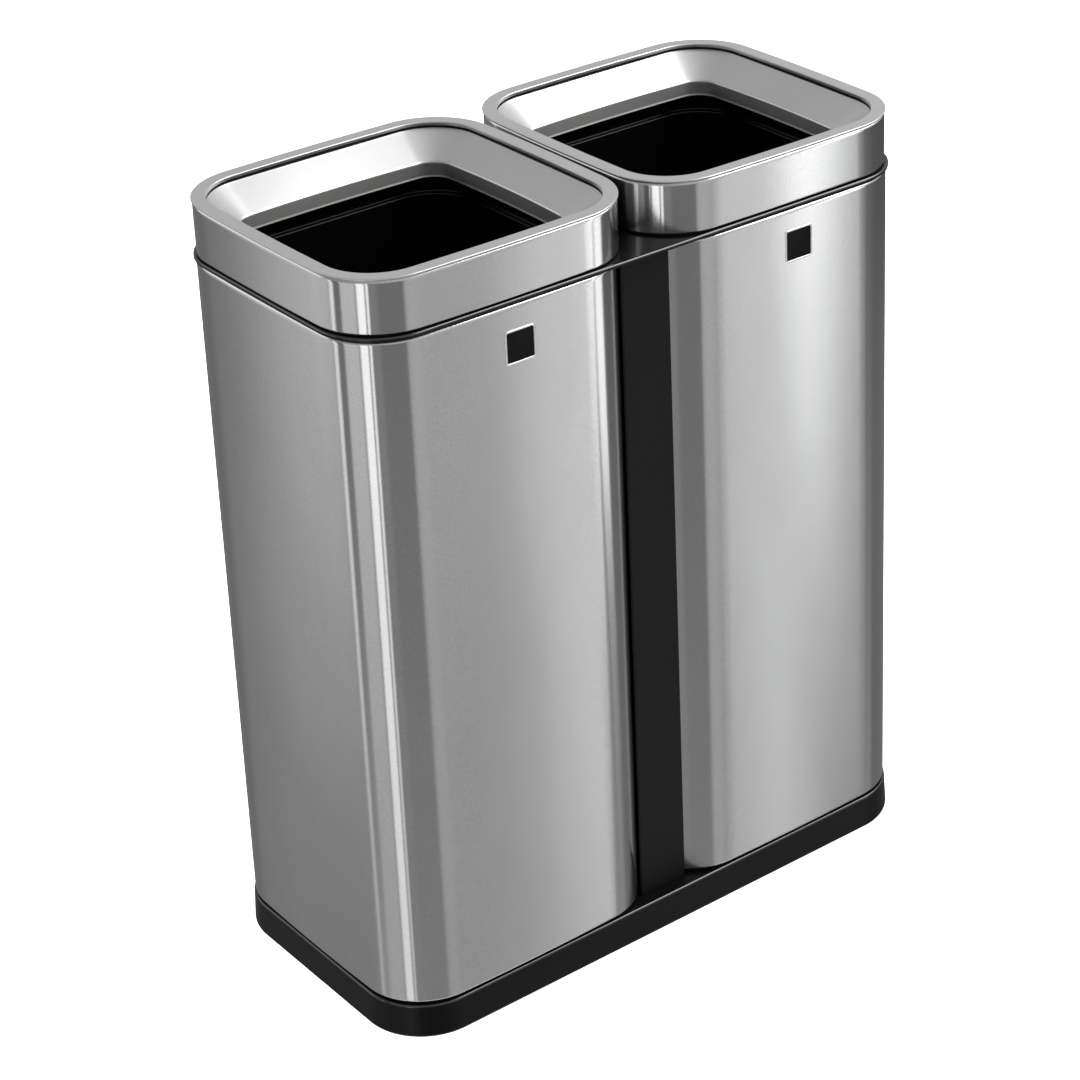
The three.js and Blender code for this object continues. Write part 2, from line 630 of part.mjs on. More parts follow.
Object.entries(BADGE_AT).forEach(([label, [x, z]]) => {
  const yb = -BODY_D / 2 - 0.3; // back of the plate, just off the steel
  const stand = (g) => {
    g.rotateX(Math.PI / 2); // the plate's face, built towards +Z, turns to -Y
    g.translate(x, yb, z);
    return geometryOf(solidOf(g));
  };
  // bright frame with a shallow pocket
  const frame = loft(
    section(BADGE, BADGE, BADGE_R, 0, 0, [
      [0, 0],
      [0, 0.7],
      [0.3, 1.0],
      [1.2, 1.0],
      [1.2, 0.4],
    ], 4),
    false,
  );
  add(`badge_frame_${label}`, stand(frame), zinc());
  // plain black inlay
  const inlay = loft(
    section(BADGE - 3.0, BADGE - 3.0, BADGE_R - 1.5, 0, 0, [
      [0, 0.65],
      [0, 0.95],
      [0.25, 1.1],
    ], 4),
    false,
  );
  add(`badge_inlay_${label}`, stand(inlay), inlayBlack());
});

export default root;
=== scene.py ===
import bpy
import math
from mathutils import Matrix, Vector


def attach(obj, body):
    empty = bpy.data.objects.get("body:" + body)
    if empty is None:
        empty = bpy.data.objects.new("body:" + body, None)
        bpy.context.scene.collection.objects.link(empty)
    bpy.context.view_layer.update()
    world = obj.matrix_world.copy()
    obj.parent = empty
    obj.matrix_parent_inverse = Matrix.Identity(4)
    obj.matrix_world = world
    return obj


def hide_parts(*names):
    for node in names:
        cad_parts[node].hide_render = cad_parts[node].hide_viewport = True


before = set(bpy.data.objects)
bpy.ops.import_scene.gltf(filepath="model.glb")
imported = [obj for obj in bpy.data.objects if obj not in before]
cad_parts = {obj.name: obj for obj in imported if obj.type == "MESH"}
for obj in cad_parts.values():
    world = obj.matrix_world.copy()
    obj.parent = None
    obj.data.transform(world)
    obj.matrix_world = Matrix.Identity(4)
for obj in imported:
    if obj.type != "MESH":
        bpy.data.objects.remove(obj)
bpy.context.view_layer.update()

# ---------------------------------------------------------------- dimensions (mm)
BODY_W, BODY_D, BODY_R, BODY_X = 284.6, 286.0, 58.5, 150.2
BODY_Z0, BODY_Z1, SHEET = 39.2, 664.8, 0.8
LENGTH = 2 * BODY_X + BODY_W
BASE_Z0, BASE_Z1, BASE_TOP_OUT, BASE_FOOT_OUT, BASE_WALL = 3.0, 36.2, 0.5, 1.9, 3.0
SPIGOT_IN, SPIGOT_T = 6.0, 2.5
FOOT_X, FOOT_Y, FOOT_R, FOOT_H, BOSS_Z0 = 233.0, 118.0, 16.0, 4.4, 4.8
DECK_Z0, DECK_Z1, DECK_OUT = 665.3, 668.7, 1.5
DECK_OPEN_W, DECK_OPEN_D, DECK_OPEN_R, DECK_SKIRT_Z = 245.4, 239.0, 51.0, 648.0
RIB_IN, RIB_T, RIB_Z1 = 4.4, 2.4, 674.6
COLLAR_X, COLLAR_Y, COLLAR_W, COLLAR_D, COLLAR_R = 148.9, 0.5, 286.5, 284.9, 59.1
COLLAR_Z0, SKIN_Z1, SKIN_ROLL = 670.3, 716.3, 3.2
BRIM_OUT, BRIM_W, BRIM_Z0, BRIM_Z1, BRIM_DROP_Z = 1.0, 13.25, 716.8, 718.2, 713.2
FUNNEL_Z1, MOUTH_W, MOUTH_D, MOUTH_R, MOUTH_Z1, MOUTH_Z0 = 712.7, 209.6, 194.4, 21.0, 693.8, 679.9
MOUTH_X, LIP_BOW, CREASE_BOW = -4.1, 1.9, 2.4
CARRIER_T = 2.5
LINER_RIM_W, LINER_RIM_D, LINER_RIM_R, LINER_RIM_Z1, LINER_HANG_Z = 254.0, 247.6, 55.0, 675.2, 669.1
LINER_TOP_W, LINER_TOP_D, LINER_TOP_R = 239.0, 232.6, 47.5
LEDGE_W, LEDGE_D, LEDGE_R, LEDGE_Z, LINER_T = 230.0, 223.6, 43.0, 660.2, 2.0
LINER_FLOOR_W, LINER_FLOOR_D, LINER_FLOOR_R, LINER_FLOOR_Z = 204.0, 197.6, 34.0, 60.0
PANEL_SETBACK, PANEL_HALF, PANEL_T = 14.2, 25.1, 1.2
TIE_Y, TIE_R = 70.0, 3.0
BADGE, BADGE_R = 30.0, 3.2
BADGE_AT = {"left": (-141.5, 628.0), "right": (155.7, 631.0)}
CROWN = 1.2  # the sheet's sides bow out this much over their flats

NC, NS = 20, 20  # segments per corner and per side

# ------------------------------------------------------------------ outlines


def outline(w, d, r, cx=0.0, cy=0.0, crown=0.0, nc=NC, ns=NS):
    """A rounded rectangle whose sides bow out by crown, smooth at the corners."""
    r = max(r, 0.4)
    pts = []
    hw, hd = w / 2 - r, d / 2 - r
    quarter = r * math.pi / 2
    sides = [
        # side start, direction along it, its half length, the corner centre after it, start angle
        ((-hw, -d / 2), (1, 0), hw, (hw, -hd), -90),
        ((w / 2, -hd), (0, 1), hd, (hw, hd), 0),
        ((hw, d / 2), (-1, 0), hw, (-hw, hd), 90),
        ((-w / 2, hd), (0, -1), hd, (-hw, -hd), 180),
    ]
    for k, (p0, u, half, c, a0) in enumerate(sides):
        n = (u[1], -u[0])
        for i in range(ns):
            t = -1 + 2 * i / ns
            s = (t + 1) * half
            o = crown * (1 - t * t)
            pts.append((p0[0] + u[0] * s + n[0] * o, p0[1] + u[1] * s + n[1] * o))
        nxt = sides[(k + 1) % 4][2]
        s0, s1 = 2 * crown / half, 2 * crown / nxt
        for i in range(nc):
            t = i / nc
            a = math.radians(a0 + 90 * t)
            slope = s0 * (1 - t) + s1 * t
            o = -slope * quarter / math.pi * math.sin(math.pi * t)
            pts.append((c[0] + (r + o) * math.cos(a), c[1] + (r + o) * math.sin(a)))
    return [(x + cx, y + cy) for x, y in pts]


def section(w, d, r, cx, cy, pairs, crown=0.0, **kw):
    return [(outline(w - 2 * o, d - 2 * o, r - o, cx, cy, crown, **kw), z) for o, z in pairs]


def rings(cx, cy, rows, **kw):
    return [(outline(w, d, r, cx, cy, **kw), z) for w, d, r, z in rows]


def roll(cx, cz, r, a, b, n):
    out = []
    for i in range(n + 1):
        t = math.radians(a + (b - a) * i / n)
        out.append((cx - r * math.cos(t), cz + r * math.sin(t)))
    return out


# -------------------------------------------------------------------- meshes


def make(name, verts, faces, mat, body, sharp=32.0, nodes=()):
    me = bpy.data.meshes.new(name)
    me.from_pydata([tuple(c / 1000.0 for c in v) for v in verts], [], faces)
    me.validate()
    bm_fix(me)
    me.polygons.foreach_set("use_smooth", [True] * len(me.polygons))
    me.set_sharp_from_angle(angle=math.radians(sharp))
    me.materials.append(mat)
    ob = bpy.data.objects.new(name, me)
    bpy.context.scene.collection.objects.link(ob)
    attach(ob, body)
    if nodes:
        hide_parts(*nodes)
    return ob


def bm_fix(me):
    import bmesh

    bm = bmesh.new()
    bm.from_mesh(me)
    bmesh.ops.remove_doubles(bm, verts=bm.verts, dist=1e-7)
    bmesh.ops.recalc_face_normals(bm, faces=bm.faces)
    bm.to_mesh(me)
    bm.free()


def guarded(rows, closed):
    """Adds a ring just inside both ends of every long band, so that shading stays flat on it."""
    out = []
    m = len(rows)
    for k in range(m):
        (pa, za) = rows[k]
        out.append((pa, za))
        if k == m - 1 and not closed:
            break
        (pb, zb) = rows[(k + 1) % m]
        length = max(math.dist((ax, ay, za), (bx, by, zb)) for (ax, ay), (bx, by) in zip(pa, pb))
        if length < 2.5:
            continue
        for t in (0.3 / length, 1 - 0.3 / length):
            out.append(([(ax + (bx - ax) * t, ay + (by - ay) * t) for (ax, ay), (bx, by) in zip(pa, pb)], za + (zb - za) * t))
    return out


def loft_data(rows, closed, verts=None, faces=None):
    verts = [] if verts is None else verts
    faces = [] if faces is None else faces
    rows = guarded(rows, closed)
    base = len(verts)
    n = len(rows[0][0])
    for pts, z in rows:
        verts.extend((x, y, z) for x, y in pts)
    m = len(rows) if closed else len(rows) - 1
    for k in range(m):
        a, b = base + k * n, base + ((k + 1) % len(rows)) * n
        for i in range(n):
            j = (i + 1) % n
            faces.append((a + i, a + j, b + j, b + i))
    if not closed:
        faces.append(tuple(base + i for i in reversed(range(n))))
        faces.append(tuple(base + (len(rows) - 1) * n + i for i in range(n)))
    return verts, faces


def lathe_data(profile, x, y, seg, verts, faces):
    """A closed profile of (radius, z) round a vertical axis; radius 0 sits on the axis."""
    idx = []
    for r, z in profile:
        if r < 1e-6:
            idx.append([len(verts)])
            verts.append((x, y, z))
        else:
            idx.append(list(range(len(verts), len(verts) + seg)))
            for i in range(seg):
                a = 2 * math.pi * i / seg
                verts.append((x + r * math.cos(a), y + r * math.sin(a), z))
    on_axis = len(idx[0]) == 1
    pairs = list(zip(idx, idx[1:])) if on_axis else list(zip(idx, idx[1:] + idx[:1]))
    for a, b in pairs:
        for i in range(seg):
            j = (i + 1) % seg
            if len(a) == 1 and len(b) == 1:
                continue
            if len(a) == 1:
                faces.append((a[0], b[j], b[i]))
            elif len(b) == 1:
                faces.append((a[i], a[j], b[0]))
            else:
                faces.append((a[i], a[j], b[j], b[i]))
    return verts, faces


def boolean(target, cutter_data, op):
    """Applies a boolean with a temporary mesh, then drops it."""
    me = bpy.data.meshes.new("cutter")
    me.from_pydata([tuple(c / 1000.0 for c in v) for v in cutter_data[0]], [], cutter_data[1])
    bm_fix(me)
    ob = bpy.data.objects.new("cutter", me)
    bpy.context.scene.collection.objects.link(ob)
    mod = target.modifiers.new("cut", "BOOLEAN")
    mod.operation = op
    mod.solver = "EXACT"
    mod.object = ob
    bpy.context.view_layer.update()
    dg = bpy.context.evaluated_depsgraph_get()
    new = bpy.data.meshes.new_from_object(target.evaluated_get(dg))
    target.modifiers.remove(mod)
    old = target.data
    target.data = new
    new.name = old.name
    bpy.data.meshes.remove(old)
    bpy.data.objects.remove(ob)
    bpy.data.meshes.remove(me)


def box_data(x0, x1, y0, y1, z0, z1):
    v = [(x, y, z) for z in (z0, z1) for y in (y0, y1) for x in (x0, x1)]
    f = [(0, 2, 3, 1), (4, 5, 7, 6), (0, 1, 5, 4), (2, 6, 7, 3), (0, 4, 6, 2), (1, 3, 7, 5)]
    return v, f


# ------------------------------------------------------------------ materials


def new_mat(name):
    m = bpy.data.materials.new(name)
    m.use_nodes = True
    nt = m.node_tree
    return m, nt, nt.nodes["Principled BSDF"]


def link(nt, a, b):
    nt.links.new(a, b)


def coords(nt, scale, kind="Object"):
    tc = nt.nodes.new("ShaderNodeTexCoord")
    mp = nt.nodes.new("ShaderNodeMapping")
    mp.inputs["Scale"].default_value = scale
    link(nt, tc.outputs[kind], mp.inputs["Vector"])
    return mp.outputs["Vector"]


def noise(nt, vec, scale, detail=3.0, rough=0.55):
    n = nt.nodes.new("ShaderNodeTexNoise")
    n.inputs["Scale"].default_value = scale
    n.inputs["Detail"].default_value = detail
    n.inputs["Roughness"].default_value = rough
    link(nt, vec, n.inputs["Vector"])
    return n.outputs["Fac"]


def ramp(nt, fac, stops):
    r = nt.nodes.new("ShaderNodeValToRGB")
    e = r.color_ramp.elements
    while len(e) < len(stops):
        e.new(0.5)
    for el, (p, c) in zip(e, stops):
        el.position = p
        el.color = (c, c, c, 1) if isinstance(c, float) else (*c, 1)
    link(nt, fac, r.inputs["Fac"])
    return r.outputs["Color"]


def maprange(nt, fac, a, b, lo=0.0, hi=1.0):
    m = nt.nodes.new("ShaderNodeMapRange")
    m.inputs["From Min"].default_value = lo
    m.inputs["From Max"].default_value = hi
    m.inputs["To Min"].default_value = a
    m.inputs["To Max"].default_value = b
    link(nt, fac, m.inputs["Value"])
    return m.outputs["Result"]


def mix_col(nt, fac, a, b, blend="MIX"):
    m = nt.nodes.new("ShaderNodeMix")
    m.data_type = "RGBA"
    m.blend_type = blend
    if isinstance(fac, float):
        m.inputs["Factor"].default_value = fac
    else:
        link(nt, fac, m.inputs["Factor"])
    for sock, v in (("A", a), ("B", b)):
        s = [i for i in m.inputs if i.name == sock and i.type == "RGBA"][0]
        if isinstance(v, tuple):
            s.default_value = (*v, 1)
        else:
            link(nt, v, s)
    return [o for o in m.outputs if o.type == "RGBA"][0]


def bump(nt, bsdf, height, strength, dist):
    b = nt.nodes.new("ShaderNodeBump")
    b.inputs["Strength"].default_value = strength
    b.inputs["Distance"].default_value = dist
    link(nt, height, b.inputs["Height"])
    link(nt, b.outputs["Normal"], bsdf.inputs["Normal"])
    return b


def brushed(name, base, rough, aniso, colour_var=0.02, slope=1.0, tint=(1.0, 1.0, 1.0), sparkle=0.0, cloudy=0.02):
    """Stainless steel, brushed round the upright walls, with the sheet's faint sparkle."""
    m, nt, b = new_mat(name)
    b.inputs["Metallic"].default_value = 1.0
    b.inputs["Anisotropic"].default_value = aniso
    b.inputs["Anisotropic Rotation"].default_value = 0.25
    b.inputs["Roughness"].default_value = rough
    lines = noise(nt, coords(nt, (55, 55, 620)), 1.0, 3.0, 0.6)
    specks = noise(nt, coords(nt, (330, 330, 720)), 1.0, 2.0, 0.6)
    cloud = noise(nt, coords(nt, (13, 13, 7)), 1.0, 5.0, 0.62)
    col = mix_col(
        nt,
        lines,
        tuple(base * t * (1 - colour_var) for t in tint),
        tuple(base * t * (1 + colour_var) for t in tint),
    )
    fleck = noise(nt, coords(nt, (520, 520, 1000)), 1.0, 1.0, 0.5)
    grey = maprange(nt, cloud, 1 - cloudy, 1 + cloudy, 0.3, 0.7)
    spark = maprange(nt, fleck, 1 - sparkle, 1 + sparkle, 0.3, 0.7)
    both = nt.nodes.new("ShaderNodeMath")
    both.operation = "MULTIPLY"
    link(nt, grey, both.inputs[0])
    link(nt, spark, both.inputs[1])
    grey = both.outputs[0]
    shade = nt.nodes.new("ShaderNodeCombineColor")
    for k in range(3):
        link(nt, grey, shade.inputs[k])
    col = mix_col(nt, 1.0, col, shade.outputs[0], "MULTIPLY")
    link(nt, col, b.inputs["Base Color"])
    tg = nt.nodes.new("ShaderNodeTangent")
    tg.direction_type = "RADIAL"
    tg.axis = "Z"
    link(nt, tg.outputs["Tangent"], b.inputs["Tangent"])
    bump(nt, b, specks, 1.0, 0.000015 * slope)
    return m


def plastic(name, base, rough, spec=0.5, grain_scale=1400.0, bump_s=0.15, var=0.25, coat=0.0):
    """Moulded black plastic with a fine spark-eroded grain."""
    m, nt, b = new_mat(name)
    b.inputs["Specular IOR Level"].default_value = spec
    if coat:
        b.inputs["Coat Weight"].default_value = coat
        b.inputs["Coat Roughness"].default_value = 0.12
    v = coords(nt, (1, 1, 1))
    g = noise(nt, v, grain_scale, 2.0, 0.6)
    big = noise(nt, v, 9.0, 4.0, 0.55)
    col = mix_col(nt, big, tuple(c * (1 - var) for c in base), tuple(c * (1 + var) for c in base))
    link(nt, col, b.inputs["Base Color"])
    link(nt, maprange(nt, big, rough * 0.9, rough * 1.12, 0.3, 0.7), b.inputs["Roughness"])
    bump(nt, b, g, bump_s, 0.00006)
    return m


STEEL = brushed("steel_brushed", 0.60, 0.145, 1.0, sparkle=0.045, cloudy=0.03)
COLLAR_STEEL = brushed("steel_collar", 0.60, 0.145, 1.0, sparkle=0.035)
SATIN = brushed("steel_satin", 0.60, 0.34, 0.0, colour_var=0.05, slope=0.6)
FUNNEL = brushed("steel_funnel", 0.62, 0.34, 0.2, colour_var=0.03, slope=0.3)
# painted shade: the upright lip is the same steel sheet as the funnel but gets a darker, slightly warm base colour
# (0.34 against 0.62) that stands in for the dark inside it reflects
LIP_SHADED = brushed("steel_lip_painted_shade", 0.34, 0.46, 0.6, colour_var=0.05, slope=0.5, tint=(1.0, 0.985, 0.96))
BASE_BLACK = plastic("base_black", (0.0044, 0.0044, 0.0046), 0.30, spec=0.15)
DECK_BLACK = plastic("deck_black", (0.0040, 0.0040, 0.0042), 0.20, spec=0.20)
EDGE_BLACK = plastic("moulded_edge_black", (0.006, 0.006, 0.006), 0.14, spec=1.0, bump_s=0.02)
CARRIER_BLACK = plastic("carrier_black", (0.004, 0.004, 0.004), 0.45, spec=0.15)
PANEL_BLACK = plastic("panel_black", (0.0080, 0.0080, 0.0080), 0.5, spec=0.16, grain_scale=2200.0, bump_s=0.2)
LINER_BLACK = plastic("liner_black", (0.0030, 0.0030, 0.0031), 0.24, spec=0.4, bump_s=0.04)
RUBBER = plastic("foot_rubber", (0.010, 0.010, 0.010), 0.75, spec=0.2, bump_s=0.3)
ZINC = brushed("zinc_plate", 0.55, 0.35, 0.2)
BEZEL = brushed("badge_bezel", 0.97, 0.36, 0.0, colour_var=0.0, slope=0.0, cloudy=0.0)
INLAY = plastic("badge_inlay_black", (0.004, 0.004, 0.004), 0.30, spec=0.12, bump_s=0.02)

# ------------------------------------------------------------------ base tray


def cap_at(rows):
    return loft_data(rows, False)


def ins(s, o, z):
    return (s[0] - 2 * o, s[1] - 2 * o, s[2] - o, z)


top = (LENGTH + 2 * BASE_TOP_OUT, BODY_D + 2 * BASE_TOP_OUT, BODY_R + BASE_TOP_OUT)
bot = (LENGTH + 2 * BASE_FOOT_OUT, BODY_D + 2 * BASE_FOOT_OUT, BODY_R + BASE_FOOT_OUT)
rows = []
for i in range(7):  # rounded lower edge
    a = math.radians(90 * i / 6)
    rows.append(ins(bot, 3.6 * (1 - math.sin(a)), BASE_Z0 + 3.6 * (1 - math.cos(a))))
rows.append(ins(bot, 0, BASE_Z0 + 4.2))
rows.append(ins(top, 0, BASE_Z1 - 2.2))
for i in range(9):
    a = math.radians(90 * i / 8)
    rows.append(ins(top, 1.7 * (1 - math.cos(a)), BASE_Z1 - 1.7 + 1.7 * math.sin(a)))
rows.append(ins(top, 2.2, BASE_Z1))
base_v, base_f = loft_data(rings(0, 0, rows), False)
base = make("base_moulding", base_v, base_f, BASE_BLACK, "root", nodes=("base_tray",))
boolean(base, loft_data(rings(0, 0, [ins(bot, BASE_WALL + 1, BASE_Z0 - 2), ins(bot, BASE_WALL + 0.6, BASE_Z0 + 4), ins(top, BASE_WALL, BASE_Z1 - BASE_WALL)]), False), "DIFFERENCE")
for side in (-1, 1):
    led = section(BODY_W, BODY_D, BODY_R, side * BODY_X, 0, [
        (3.0, BASE_Z1 - 0.5), (3.0, BODY_Z0 - 0.3), (SPIGOT_IN, BODY_Z0 - 0.3), (SPIGOT_IN, BASE_Z1 + 15),
        (SPIGOT_IN + 0.8, BASE_Z1 + 16), (SPIGOT_IN + SPIGOT_T, BASE_Z1 + 16), (SPIGOT_IN + SPIGOT_T, BASE_Z1 - 0.5)])
    boolean(base, loft_data(led, True), "UNION")
for x in (-FOOT_X, FOOT_X):
    for y in (-FOOT_Y, FOOT_Y):
        v, f = [], []
        lathe_data([(0, BOSS_Z0), (FOOT_R + 1.6, BOSS_Z0), (FOOT_R + 2, BOSS_Z0 + 0.4), (FOOT_R + 2, BASE_Z1 - 1), (0, BASE_Z1 - 1)], x, y, 48, v, f)
        boolean(base, (v, f), "UNION")
        v, f = [], []
        lathe_data([(0, BOSS_Z0 - 1), (2.1, BOSS_Z0 - 1), (2.1, BOSS_Z0 + 16), (0, BOSS_Z0 + 16)], x, y, 24, v, f)
        boolean(base, (v, f), "DIFFERENCE")
for y in (-TIE_Y, TIE_Y):
    v, f = [], []
    lathe_data([(0, 20), (8.6, 20), (9, 20.4), (9, BASE_Z1 - 1), (0, BASE_Z1 - 1)], 0, y, 40, v, f)
    boolean(base, (v, f), "UNION")
    v, f = [], []
    lathe_data([(0, 15), (TIE_R + 0.3, 15), (TIE_R + 0.3, BASE_Z1 + 5), (0, BASE_Z1 + 5)], 0, y, 24, v, f)
    boolean(base, (v, f), "DIFFERENCE")
boolean(base, box_data(-1.2, 1.2, -141.5, -TIE_Y - 8, 12, BASE_Z1 - 1), "UNION")
boolean(base, box_data(-1.2, 1.2, TIE_Y + 8, 141.5, 12, BASE_Z1 - 1), "UNION")
y1 = BODY_D / 2 - PANEL_SETBACK - PANEL_T - 0.4
for a, b in ((-y1, -y1 + 3), (y1 - 3, y1)):
    boolean(base, box_data(-15, 15, a, b, BASE_Z1 - 0.5, BASE_Z1 + 14), "UNION")
base.data.polygons.foreach_set("use_smooth", [True] * len(base.data.polygons))
base.data.set_sharp_from_angle(angle=math.radians(32))



def gloss_edge(ob, z0, z1):
    """The rounded upper edge of a moulding is polished by its tool."""
    ob.data.materials.append(EDGE_BLACK)
    k = len(ob.data.materials) - 1
    for p in ob.data.polygons:
        if z0 < p.center.z * 1000 < z1 and 0.08 < p.normal.z < 0.985:
            p.material_index = k


gloss_edge(base, BASE_Z1 - 1.8, BASE_Z1 + 0.01)

# ----------------------------------------------------------------------- feet

for label, x, y in (("front_left", -FOOT_X, -FOOT_Y), ("front_right", FOOT_X, -FOOT_Y), ("rear_left", -FOOT_X, FOOT_Y), ("rear_right", FOOT_X, FOOT_Y)):
    prof = [(2.3, FOOT_H), (2.3, 3.0), (4.6, 3.0), (4.6, 0.25), (4.85, 0.0), (FOOT_R - 1.2, 0.0)]
    prof += [(FOOT_R - 1.2 + 1.2 * math.sin(math.radians(a)), 1.2 - 1.2 * math.cos(math.radians(a))) for a in (18, 36, 54, 72, 90)]
    prof += [(FOOT_R, FOOT_H - 0.4), (FOOT_R - 0.4, FOOT_H)]
    v, f = lathe_data(prof, x, y, 64, [], [])
    make("rubber_foot_" + label, v, f, RUBBER, "root", nodes=("foot_" + label,))
    # pan head screw with a cross recess
    prof = [(0, 0.5), (2.4, 0.5), (3.3, 0.75), (3.9, 1.25), (4.1, 1.8), (4.1, 2.7), (1.9, 2.7), (1.9, 17.0), (0.9, 18.5), (0, 18.5)]
    v, f = lathe_data(prof, x, y, 40, [], [])
    scr = make("screw_" + label, v, f, ZINC, "root", nodes=("foot_screw_" + label,))
    boolean(scr, box_data(x - 2.0, x + 2.0, y - 0.45, y + 0.45, 0.0, 1.7), "DIFFERENCE")
    boolean(scr, box_data(x - 0.45, x + 0.45, y - 2.0, y + 2.0, 0.0, 1.7), "DIFFERENCE")

# ------------------------------------------------------------ tie rods and nuts

for label, y in (("front", -TIE_Y), ("rear", TIE_Y)):
    prof = [(0, 10.5)]
    z = 10.9
    prof.append((TIE_R - 0.45, 10.6))
    while z < 22.0:  # threaded end
        prof += [(TIE_R - 0.32, z), (TIE_R, z + 0.25), (TIE_R, z + 0.45), (TIE_R - 0.32, z + 0.7)]
        z += 0.8
    prof += [(TIE_R - 0.1, z + 0.3), (TIE_R - 0.1, DECK_Z0 - 5.0), (TIE_R - 0.5, DECK_Z0 - 4.5), (0, DECK_Z0 - 4.5)]
    v, f = lathe_data(prof, 0, y, 32, [], [])
    make("rod_" + label, v, f, ZINC, "root", nodes=("tie_rod_" + label,))
    prof = [(3.3, 18.2), (6.3, 18.2), (6.5, 18.4), (6.5, 19.5), (6.3, 19.7), (3.3, 19.7)]
    v, f = lathe_data(prof, 0, y, 48, [], [])
    make("washer_" + label, v, f, ZINC, "root", nodes=("tie_washer_" + label,))
    # hexagon nut with chamfered corners
    v, f = [], []
    n = 48
    outer = []
    for i in range(n):
        a = 2 * math.pi * i / n
        k = math.cos(math.pi / 6) / math.cos((a % (math.pi / 3)) - math.pi / 6)
        outer.append((a, 5.77 * k))
    levels = [(12.8, -0.45), (13.25, 0.0), (17.45, 0.0), (17.9, -0.45)]
    for z, dr in levels:
        for a, r in outer:
            rr = min(r, 5.77 + dr) if dr < 0 else r
            v.append((rr * math.cos(a), y + rr * math.sin(a), z))
    for z in (17.9, 12.8):
        for i in range(n):
            a = 2 * math.pi * i / n
            v.append((3.3 * math.cos(a), y + 3.3 * math.sin(a), z))
    for k in range(6):
        for i in range(n):
            j = (i + 1) % n
            f.append((k * n + i, k * n + j, ((k + 1) % 6) * n + j, ((k + 1) % 6) * n + i))
    make("nut_" + label, v, f, ZINC, "root", nodes=("tie_nut_" + label,))

# --------------------------------------------------------------- steel bodies

BR, TR = 1.6, 3.6
for label, side in (("left", -1), ("right", 1)):
    pairs = [(5.5, BODY_Z0)]
    pairs += roll(BR, BODY_Z0 + BR, BR, -90, 0, 6)
    pairs += [(0, BODY_Z0 + BR + 0.8)] + [(0, BODY_Z0 + k * (BODY_Z1 - BODY_Z0) / 8) for k in range(1, 8)] + [(0, BODY_Z1 - TR - 1.2)]
    pairs += roll(TR, BODY_Z1 - TR, TR, 0, 90, 10)
    pairs += [(5.5, BODY_Z1), (5.5, BODY_Z1 - SHEET)]
    pairs += roll(TR, BODY_Z1 - TR, TR - SHEET, 90, 0, 6)
    pairs += roll(BR, BODY_Z0 + BR, BR - SHEET, 0, -90, 3)
    pairs += [(5.5, BODY_Z0 + SHEET)]
    v, f = loft_data(section(BODY_W, BODY_D, BODY_R, side * BODY_X, 0, pairs, crown=CROWN), True)
    make("body_" + label, v, f, STEEL, "root", nodes=("body_shell_" + label,))

# -------------------------------------------------------------- centre panels

for label, sy in (("front", -1), ("rear", 1)):
    yf = BODY_D / 2 - PANEL_SETBACK
    r = 1.5
    c = (PANEL_HALF - r, yf - r)

    def arc(rr):
        return [(c[0] + rr * math.cos(math.radians(90 - 135 * i / 12)), c[1] + rr * math.sin(math.radians(90 - 135 * i / 12))) for i in range(13)]

    run = 9 * math.sqrt(0.5)
    outer, inner = arc(r), arc(r - PANEL_T)
    outer.append((outer[-1][0] - run, outer[-1][1] - run))
    inner.append((inner[-1][0] - run, inner[-1][1] - run))
    right = [(PANEL_HALF - r - 1.0, yf)] + outer + inner[::-1] + [(PANEL_HALF - r - 1.0, yf - PANEL_T)]
    pts = right + [(-x, y) for x, y in reversed(right)]
    pts = [(x, sy * y) for x, y in pts]
    v, f = loft_data([(pts, BASE_Z1 + 0.3), (pts, DECK_Z0 - 0.3)], False)
    make("panel_" + label, v, f, PANEL_BLACK, "root", nodes=("centre_panel_" + label,), sharp=25)

# ------------------------------------------------------------------- top deck

w, d, r = LENGTH + 2 * DECK_OUT, BODY_D + 2 * DECK_OUT, BODY_R + DECK_OUT
pairs = [(1.2, DECK_Z0), (0.5, DECK_Z0), (0.15, DECK_Z0 + 0.15), (0, DECK_Z0 + 0.5), (0, DECK_Z1 - 1.6)]
pairs += roll(1.5, DECK_Z1 - 1.5, 1.5, 0, 90, 8) + [(2.1, DECK_Z1)]
v, f = loft_data(section(w, d, r, 0, 0, pairs), False)
deck = make("deck_moulding", v, f, DECK_BLACK, "root", nodes=("top_deck",))
for side in (-1, 1):
    sk = section(BODY_W, BODY_D, BODY_R, side * BODY_X, 0, [
        (SPIGOT_IN, DECK_Z0 + 0.6), (SPIGOT_IN, DECK_SKIRT_Z + 1), (SPIGOT_IN + 0.8, DECK_SKIRT_Z),
        (SPIGOT_IN + SPIGOT_T, DECK_SKIRT_Z), (SPIGOT_IN + SPIGOT_T, DECK_Z0 + 0.6)])
    boolean(deck, loft_data(sk, True), "UNION")
    rb = section(COLLAR_W, COLLAR_D, COLLAR_R, side * COLLAR_X, COLLAR_Y, [
        (RIB_IN, DECK_Z1 - 0.6), (RIB_IN, RIB_Z1 - 0.8), (RIB_IN + 0.6, RIB_Z1), (RIB_IN + RIB_T, RIB_Z1), (RIB_IN + RIB_T, DECK_Z1 - 0.6)])
    boolean(deck, loft_data(rb, True), "UNION")
    op = rings(side * COLLAR_X, COLLAR_Y, [(DECK_OPEN_W, DECK_OPEN_D, DECK_OPEN_R, DECK_Z0 - 2), (DECK_OPEN_W, DECK_OPEN_D, DECK_OPEN_R, DECK_Z1 + 2)])
    boolean(deck, loft_data(op, False), "DIFFERENCE")
